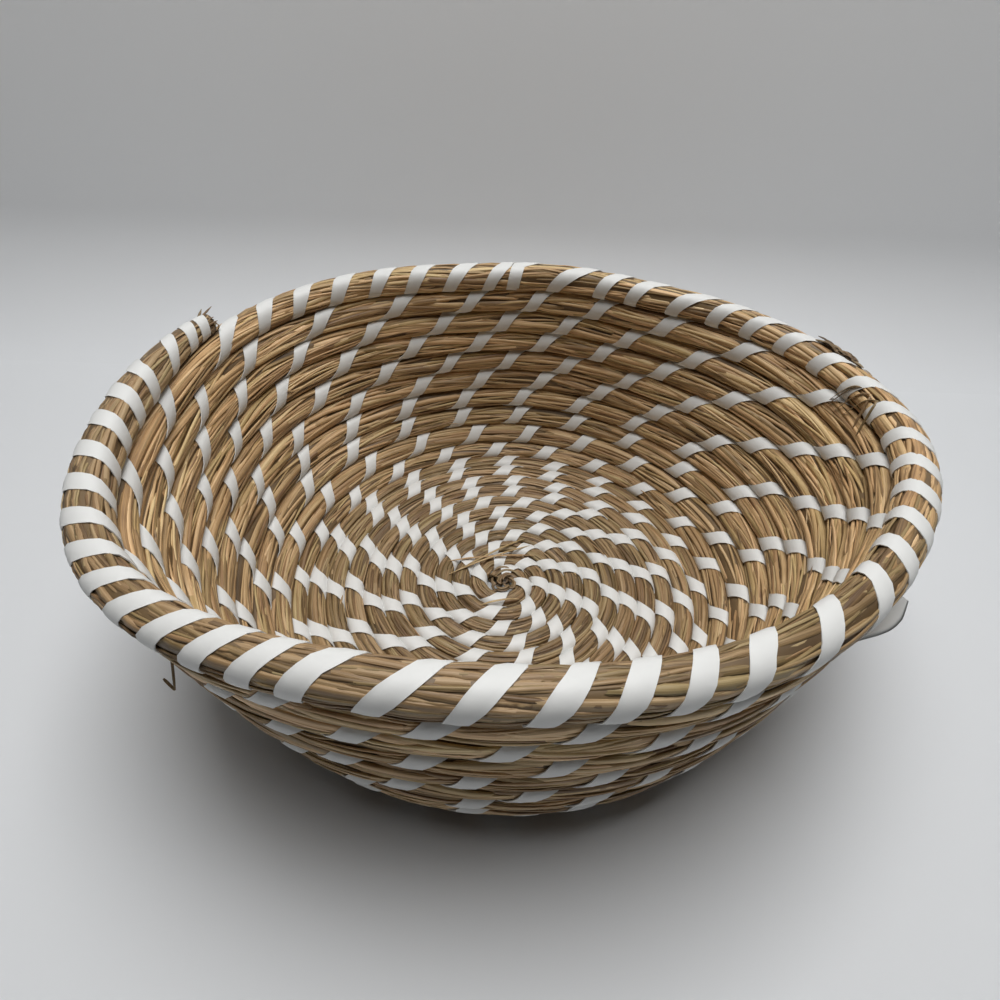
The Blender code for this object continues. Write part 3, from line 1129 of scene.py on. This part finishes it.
@dataclass
class Loose:
    """Straws that stand out of the bundle, and loose ends of the strip."""

    guide: Guide
    tree: BladeTree
    straw: Material
    dark_straw: Material
    white: Material
    seed: int = 21
    tuft_angle: float = 18.5
    crossing_angle: float = 7.5
    cut_turns: tuple[float, float] = (20.972, 20.987)
    floor_top: float = 8.3 * MM
    long_lines: tuple[tuple[float, float, float, float], ...] = (
        (28.0, 176.0, 26.0, 62.0), (24.0, 170.0, 30.0, 70.0), (31.0, 160.0, 22.0, 48.0),
        (20.0, 235.0, 14.0, 300.0))
    bent_places: tuple[Triple, ...] = (
        (-96.5, -101.5, 97.0), (-96.0, -110.3, 82.0), (-99.3, -108.3, 84.7))
    tail_places: tuple[Triple, ...] = (
        (97.6, -90.7, 92.0), (108.0, -86.8, 90.3), (119.5, -81.3, 88.8), (128.6, -72.5, 89.6))

    def __post_init__(self) -> None:
        """Start the row of chances."""
        self.chance = random.Random(self.seed)

    def all(self) -> None:
        """Make every loose straw and strip end."""
        straw, dark = self.straw, self.dark_straw
        self.make("stray_slivers", [self.stray() for _ in range(100)], 0.9, 0.3, Slot.WALL, straw)
        self.make("frayed_tuft", [self.frayed() for _ in range(80)], 1.5, 0.5, Slot.RIM, dark,
                  tip=0.4)
        self.make("crossed_straws", [self.crossed() for _ in range(6)], 1.0, 0.4, Slot.RIM, dark)
        self.make("long_straws", [self.sprung(*line) for line in self.long_lines], 1.1, 0.5,
                  Slot.FLOOR, straw)
        self.make("cut_rim_end", [self.cut() for _ in range(16)], 1.3, 0.7, Slot.RIM, dark)
        self.make("bent_straw", self.bent(), 0.9, 0.4, Slot.RIM, dark, tip=0.6)
        self.make("centre_knot", [self.knotted() for _ in range(30)], 1.4, 0.7, Slot.FLOOR, dark)
        tail = self.make("loose_strip_end", [self.placed(self.tail_places)], 5.6, 0.25, Slot.STRIP,
                         self.white, tilt=math.radians(15.0), tip=0.45)
        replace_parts(tail, "loose_strip_tail")

    def make(self, name: str, chains: list[Chain], width: float, thickness: float, slot: Slot,
             paint: Material, tilt: float = 0.0, tip: float = 0.25) -> Object:
        """Make blades along chains of points.

        Args:
            name: The piece's name.
            chains: The points of each blade.
            width: The blades' width in millimetres.
            thickness: Their thickness in millimetres.
            slot: The record's material slot; not used.
            paint: The blades' material.
            tilt: How far the blades are turned about their length.
            tip: The share of the width that is left at the ends.

        Returns:
            The piece.
        """
        return settle(self.tree.make(name, path_mesh(name + " paths", *chains), {
            "Width": width * MM, "Thickness": thickness * MM, "Tilt": tilt, "Tip": tip,
            "Material": paint}))

    def on_bundle(self, turn: float, around: float, above: float) -> Vector:
        """A point near the bundle.

        Args:
            turn: The turn of the coil.
            around: The angle round the bundle, from its upper side towards the outside.
            above: The height above the bundle's surface.

        Returns:
            The point.
        """
        station = self.guide.coil.station(turn, self.guide.middle)
        away = station.upward * math.cos(around) + station.outward * math.sin(around)
        return station.centre + away * (station.tube + above)

    def rim_turn(self, angle: float) -> float:
        """The turn of the rim at an angle in degrees."""
        coil = self.guide.coil
        return coil.rim_turn + ((math.degrees(coil.end_angle) - angle) % 360.0) / 360.0

    def span(self, length: float, turn: float) -> float:
        """The share of a turn that a length takes up."""
        return length / (math.tau * self.guide.coil.lay(turn)[0])

    def placed(self, places: Iterable[Triple]) -> Chain:
        """A chain of places in millimetres from the spiral's middle."""
        return [Vector(place) * MM - self.guide.middle for place in places]

    def stray(self) -> Chain:
        """A short sliver that has come a little away from the bundle, mostly inside the bowl."""
        turn = self.chance.uniform(2.0, 19.7)
        around = self.chance.gauss(-1.6, 0.7)
        span = self.span(self.chance.uniform(8.0, 26.0) * MM, turn)
        lift = self.chance.uniform(0.4, 2.0) * MM
        turned = self.chance.uniform(-0.9, 0.9)
        return [self.on_bundle(turn + span * (share - 0.5), around + turned * (share - 0.5),
                               lift * share ** 2 - 0.4 * MM) for share in (0.0, 0.33, 0.66, 1.0)]

    def frayed(self) -> Chain:
        """A blade of the frayed tuft where the rim's bundle grows thicker."""
        turn = self.rim_turn(self.tuft_angle + self.chance.gauss(0.0, 1.6))
        around = self.chance.uniform(-0.2, 1.3)
        span = self.span(self.chance.choice((-1.0, 1.0)) * 5.0 * MM, turn)
        lift = self.chance.uniform(0.4, 2.2) * MM
        return [self.on_bundle(turn + span * share, around, height)
                for share, height in ((-1.0, -0.8 * MM), (0.0, lift), (0.8, lift))]

    def crossed(self) -> Chain:
        """A dark straw that crosses from the rim to the row below it, inside, near the tuft."""
        turn = self.rim_turn(self.crossing_angle + self.chance.gauss(0.0, 1.5))
        slant = self.chance.choice((-0.012, 0.006, 0.024))
        low = self.chance.uniform(-1.7, -1.2)
        return [self.on_bundle(turn, -0.9, -0.3 * MM),
                self.on_bundle(turn + slant * 0.5, -1.5, 0.8 * MM),
                self.on_bundle(turn + slant - 1.0, low, 0.3 * MM)]

    def sprung(self, reach: float, angle: float, end_reach: float, end_angle: float) -> Chain:
        """A long straw that has sprung out of the floor and lies across its rows.

        Args:
            reach: Millimetres from the spiral's middle to its start.
            angle: The direction of its start in degrees.
            end_reach: Millimetres from the middle to its end.
            end_angle: The direction of its end.

        Returns:
            Its points.
        """
        start = level(math.radians(angle)) * reach * MM
        end = level(math.radians(end_angle)) * end_reach * MM
        lifts = ((0.0, -1.2), (0.3, 0.3), (0.7, 0.5), (1.0, -0.8))
        return [start.lerp(end, share) + UP * (self.floor_top + lift * MM) - self.guide.middle
                for share, lift in lifts]

    def cut(self) -> Chain:
        """A cut straw at the end of the rim."""
        around = self.chance.uniform(-2.6, 1.6)
        depth = self.chance.uniform(-2.2, -0.3) * MM
        start, near = (self.on_bundle(turn, around, depth) for turn in self.cut_turns)
        ahead = (near - start).normalized()
        reach = self.chance.uniform(6.0, 11.0) * MM
        side = Vector([self.chance.gauss(0.0, 0.14) for _ in range(3)])
        return [start, start + ahead * reach * 0.6, start + (ahead + side) * reach]

    def bent(self) -> list[Chain]:
        """The two halves of a straw that sticks out under the rim, bent double."""
        root, down, back = self.placed(self.bent_places)
        return [[root, root.lerp(down, 0.5), down], [down, down.lerp(back, 0.5), back]]

    def knotted(self) -> Chain:
        """One of the curled stalks on which the coil is begun."""
        start = self.chance.uniform(0.0, math.tau)
        sweep = self.chance.uniform(0.8, 2.6)
        radius = self.chance.uniform(0.6, 5.0) * MM
        grow = self.chance.uniform(0.0, 3.5) * MM
        height = self.chance.uniform(4.5, 7.7) * MM
        aside = Vector((self.chance.gauss(0.0, 1.6), self.chance.gauss(0.0, 1.6), 0.0)) * MM
        chain = []
        for k in range(5):
            angle, reach = start - sweep * k / 4.0, radius + grow * k / 4.0
            point = Vector((math.cos(angle) * reach, math.sin(angle) * reach, height))
            chain.append(point - (self.guide.middle + aside))
        return chain


@dataclass
class Stage:
    """The table top, the wall behind it, the light and the camera."""

    middle: Vector
    camera_place: Triple = (-3.75, -212.5, 255.9)
    camera_pitch: float = math.radians(42.71)
    camera_roll: float = math.radians(2.03)
    focal_pixels: float = 665.7
    frame_pixels: float = 1000.0
    sensor: float = 36.0
    front: float = -1.5
    back: float = 0.20
    bend: float = 0.08
    bend_steps: int = 12
    wall_height: float = 1.6
    half_width: float = 2.5
    shaded_height: float = 0.24
    # Colours by height: the wall is painted paler towards its top, painted light.
    shades: tuple[tuple[float, Colour], ...] = (
        (0.0, (0.70, 0.715, 0.73, 1.0)), (0.35, (0.84, 0.845, 0.85, 1.0)),
        (1.0, (0.88, 0.88, 0.875, 1.0)))
    sky: Colour = (0.97, 0.98, 1.0, 1.0)
    sky_seen: float = 0.42
    sky_light: float = 0.02
    lamp_place: Triple = (0.04, 0.02, 1.2)
    lamp_target: Triple = (0.0, 0.0, 0.05)
    lamp_size: float = 0.72
    lamp_power: float = 12.0

    def build(self) -> None:
        """Make the stage."""
        self.table()
        self.lights()
        self.camera()

    def table(self) -> None:
        """A pale table top, and a wall that it turns up into behind the basket, painted paler with
        height up the wall: painted light.
        """
        paint, graph, inputs = new_material("pale_table", 0.6)
        height = graph.axes(graph.out("ShaderNodeTexCoord", {}, output="Object"))[2]
        graph.feed(inputs["Base Color"], graph.ramp(height / self.shaded_height, *self.shades))
        quarter = [math.pi / 2.0 * k / self.bend_steps for k in range(self.bend_steps + 1)]
        curve = [(self.back + self.bend * math.sin(angle), self.bend * (1.0 - math.cos(angle)))
                 for angle in quarter]
        self.sheet("table_top", [(self.front, 0.0), (self.back, 0.0)], paint)
        top = (self.back + self.bend, self.wall_height)
        self.sheet("back_wall", [*curve, top], paint).visible_shadow = False

    def sheet(self, name: str, profile: list[tuple[float, float]],
              paint: Material) -> Object:
        """Add a wide sheet along a profile.

        Args:
            name: The sheet's name.
            profile: Its places in y and z.
            paint: Its material.

        Returns:
            The sheet.
        """
        mesh = bpy.data.meshes.new(name)
        mesh.from_pydata(
            [(x, y, z) for y, z in profile for x in (-self.half_width, self.half_width)], [],
            [(2 * k, 2 * k + 1, 2 * k + 3, 2 * k + 2) for k in range(len(profile) - 1)])
        mesh.materials.append(paint)
        mesh.shade_smooth()
        made = add_object(name, mesh)
        return made

    def lights(self) -> None:
        """Soft light from above, and a sky that gives little light but is seen as pale."""
        world = bpy.data.worlds.new("pale_sky")
        world.use_nodes = True
        graph = Graph(world.node_tree)
        inputs = world.node_tree.nodes["Background"].inputs
        inputs["Color"].default_value = self.sky
        seen = graph.out("ShaderNodeLightPath", {}, output="Is Camera Ray")
        graph.feed(inputs["Strength"], seen * self.sky_seen + self.sky_light)
        bpy.context.scene.world = world
        lamp = bpy.data.lights.new("window", "AREA")
        lamp.size, lamp.energy = self.lamp_size, self.lamp_power
        holder = add_object("window", lamp)
        holder.location = self.lamp_place
        aim = Vector(self.lamp_target) - Vector(self.lamp_place)
        holder.rotation_euler = aim.to_track_quat("-Z", "Y").to_euler()

    def camera(self) -> None:
        """Stand the camera where the photograph was taken from."""
        pitch, roll = self.camera_pitch, self.camera_roll
        back = Vector((0.0, -math.cos(pitch), math.sin(pitch)))
        right = Vector((1.0, 0.0, 0.0))
        up = back.cross(right)
        x = math.cos(roll) * right + math.sin(roll) * up
        y = -math.sin(roll) * right + math.cos(roll) * up
        lens = bpy.data.cameras.new("camera")
        lens.sensor_width = self.sensor
        lens.lens = self.sensor * self.focal_pixels / self.frame_pixels
        lens.clip_start, lens.clip_end = 0.01, 20.0
        camera = add_object("camera", lens)
        turned = Matrix((x, y, back)).transposed().to_4x4()
        place = Vector(self.camera_place) * MM - self.middle
        camera.matrix_world = Matrix.Translation(place) @ turned
        bpy.context.scene.camera = camera


# Painted light and shade along the coil: the floor's grass is painted darker and the wall's grass
# paler, more so towards the rim.
SHADES = ((0.0, 0.64), (9.0, 0.76), (12.0, 1.08), (20.0, 1.46))
RIM_SHADES = (1.35, 0.80)
RIM_SPLICE = 20.5


def lengths(coil: Coil) -> list[Length]:
    """The coil from its start to its end, in the lengths that are made one by one.

    Args:
        coil: The rule by which the bundle is laid.

    Returns:
        The lengths.
    """
    ends = (0.0, 4.0, 7.0, 9.0, coil.floor_turns, *(float(turn) for turn in range(11, 21)))
    made = []
    for k, (first, last) in enumerate(zip(ends, ends[1:])):
        floor = last <= coil.floor_turns
        row = 0 if floor else round(last) - 10
        made.append(Length(
            name=f"wall_{row}" if row else f"floor_{k + 1}", first=first, last=last,
            slot=Slot.FLOOR if floor else Slot.WALL,
            # painted light and shade: darker on the floor, paler up the wall
            shade=interpolate((first + last) / 2.0, SHADES),
            coil_node={0: "base_coil", coil.floor_turns: "wall_coil"}.get(first, ""),
            strip_nodes=(f"wall_strip_{row - 1}",) if row > 1 else ()))
    back, front = RIM_SHADES
    made.append(Length("rim_1", coil.rim_turn, RIM_SPLICE, Slot.RIM, back, "rim_coil",
                       ("rim_strip_back",)))
    made.append(Length("rim_2", RIM_SPLICE, coil.cut_turn, Slot.RIM, front, "",
                       ("rim_strip_front", "rim_strip_end")))
    return made


def main() -> None:
    """Build the basket and its stage."""
    logging.basicConfig(level=logging.INFO, format="%(message)s")
    coil = Coil()
    wraps = Wraps(coil)
    guide = Guide(coil)
    guide.build(wraps)
    # Darker grass: painted shade on the core, and the colour of the dark loose straws.
    inner = Straw("inner_grass", shade=0.55).material()
    white = Plain("white_strip", (0.72, 0.72, 0.70, 1.0), 0.5).material()
    bundle = Bundle(guide, StalkTree(WALL_LIE), StalkTree(RIM_LIE), CoreTree(), inner)
    binding = Binding(guide, wraps, StripTree(), white)
    for length in lengths(coil):
        # Each length's grass takes its shade; on the floor and the wall this is painted light and
        # shade.
        straw = Straw(length.name + "_grass", shade=length.shade).material()
        core = bundle.lay(length, straw)[-1]
        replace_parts(core, *([length.coil_node] if length.coil_node else []))
        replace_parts(binding.wind(length), *length.strip_nodes)
    Loose(guide, BladeTree(), Straw("loose_grass").material(), inner, white).all()
    bpy.data.objects.remove(guide.object)

    Stage(guide.middle).build()
    bpy.context.scene.view_settings.view_transform = "Standard"


if __name__ == "__main__":
    main()
